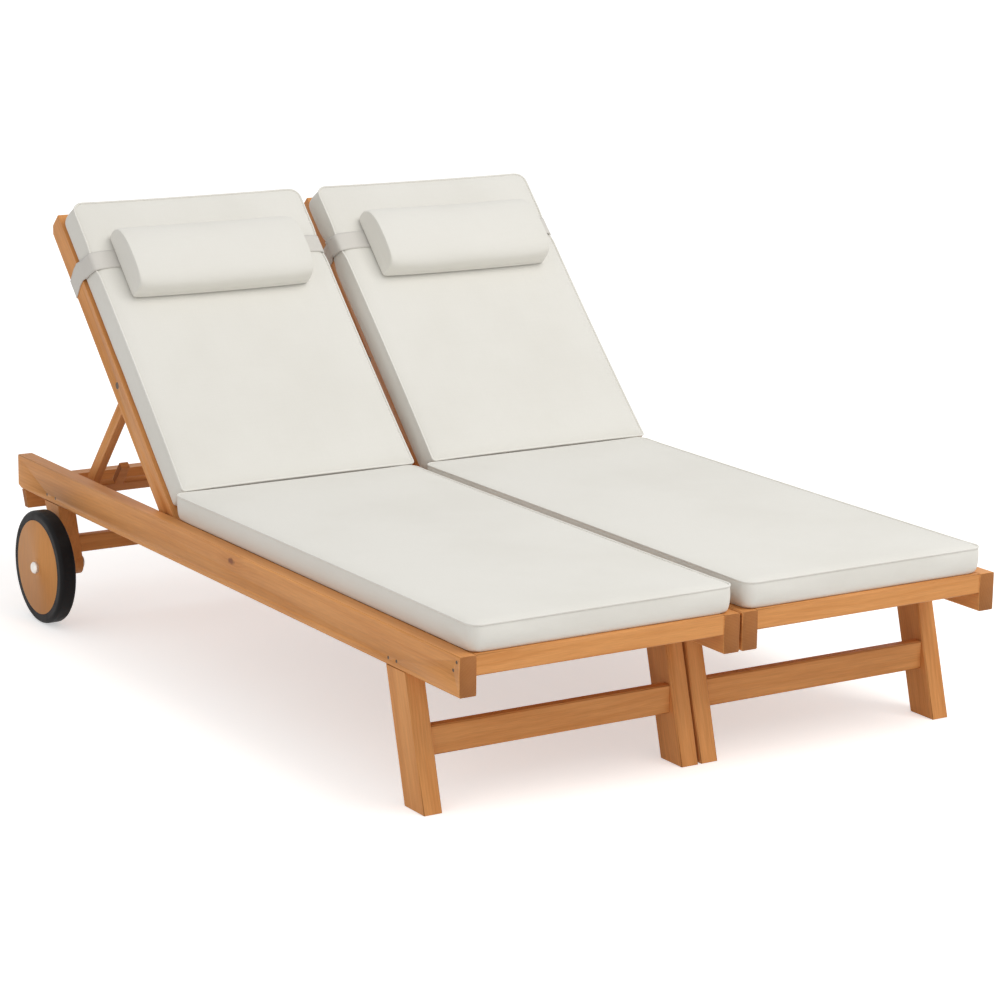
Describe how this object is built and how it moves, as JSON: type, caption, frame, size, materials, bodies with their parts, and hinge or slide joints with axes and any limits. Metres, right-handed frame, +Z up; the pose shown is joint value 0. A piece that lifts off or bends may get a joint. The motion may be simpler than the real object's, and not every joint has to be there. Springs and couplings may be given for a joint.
{
  "type": "double chaise lounger",
  "caption": "Pair of slatted wooden sun loungers bolted side by side, with outer wheels, propped tilting backrests, box cushions and head pillows.",
  "frame": {"origin": "on the ground under the middle of the joined frames", "axes": "+X across the pair, +Y from the foot end to the head end, +Z up"},
  "size_m": [1.449, 2, 0.9568],
  "materials": {
    "teak": "satin oiled",
    "canvas": "woven",
    "rubber": "matt",
    "steel": "brushed"
  },
  "bodies": {
    "frame": {"left_outer_rail": "teak", "left_inner_rail": "teak", "left_outer_front_leg": "teak", "left_inner_front_leg": "teak", "left_outer_rear_leg": "teak", "left_inner_rear_leg": "teak", "left_foot_rail": "teak", "left_seat_end_rail": "teak", "left_tail_board": "teak", "left_front_stretcher": "teak", "left_rear_stretcher": "teak", "left_seat_cleats": "teak", "left_seat_slats": "teak", "left_prop_racks": "teak", "left_seat_cushion": "canvas", "right_outer_rail": "teak", "right_inner_rail": "teak", "right_outer_front_leg": "teak", "right_inner_front_leg": "teak", "right_outer_rear_leg": "teak", "right_inner_rear_leg": "teak", "right_foot_rail": "teak", "right_seat_end_rail": "teak", "right_tail_board": "teak", "right_front_stretcher": "teak", "right_rear_stretcher": "teak", "right_seat_cleats": "teak", "right_seat_slats": "teak", "right_prop_racks": "teak", "right_seat_cushion": "canvas", "backrest_hinge_bolts": "steel", "frame_screws": "steel", "joining_bolts": "steel", "stub_axles": "steel", "axle_washers": "steel", "hub_caps": "steel"},
    "left_backrest": {"left_outer_stile": "teak", "left_inner_stile": "teak", "left_backrest_top_rail": "teak", "left_backrest_slats": "teak", "left_back_cushion": "canvas", "left_head_pillow": "canvas", "left_pillow_strap": "canvas", "left_prop_pivot_bolts": "steel"},
    "left_prop": {"left_prop_struts": "teak", "left_prop_foot_bar": "teak"},
    "left_wheel": {"left_wheel_disc": "teak", "left_tyre": "rubber"},
    "right_backrest": {"right_outer_stile": "teak", "right_inner_stile": "teak", "right_backrest_top_rail": "teak", "right_backrest_slats": "teak", "right_back_cushion": "canvas", "right_head_pillow": "canvas", "right_pillow_strap": "canvas", "right_prop_pivot_bolts": "steel"},
    "right_prop": {"right_prop_struts": "teak", "right_prop_foot_bar": "teak"},
    "right_wheel": {"right_wheel_disc": "teak", "right_tyre": "rubber"}
  },
  "joints": [
    {"name": "left_backrest_tilt", "type": "hinge", "parent": "frame", "child": "left_backrest", "pos_m": [-0.3255, 0.272, 0.319], "axis": [1, 0, 0], "range_deg": [-45.5, 0]},
    {"name": "left_prop_swing", "type": "hinge", "parent": "left_backrest", "child": "left_prop", "pos_m": [-0.3255, 0.53624, 0.5879], "axis": [1, 0, 0], "range_deg": [0, 95.6]},
    {"name": "left_wheel_spin", "type": "hinge", "parent": "frame", "child": "left_wheel", "pos_m": [-0.691, 0.758, 0.1315], "axis": [1, 0, 0], "continuous": true},
    {"name": "right_backrest_tilt", "type": "hinge", "parent": "frame", "child": "right_backrest", "pos_m": [0.3255, 0.272, 0.319], "axis": [1, 0, 0], "range_deg": [-45.5, 0]},
    {"name": "right_prop_swing", "type": "hinge", "parent": "right_backrest", "child": "right_prop", "pos_m": [0.3255, 0.53624, 0.5879], "axis": [1, 0, 0], "range_deg": [0, 95.6]},
    {"name": "right_wheel_spin", "type": "hinge", "parent": "frame", "child": "right_wheel", "pos_m": [0.691, 0.758, 0.1315], "axis": [1, 0, 0], "continuous": true}
  ],
  "couplings": [
    {"joint": "left_prop_swing", "follows": "left_backrest_tilt", "ratio": -2.0989},
    {"joint": "right_prop_swing", "follows": "right_backrest_tilt", "ratio": -2.0989}
  ]
}
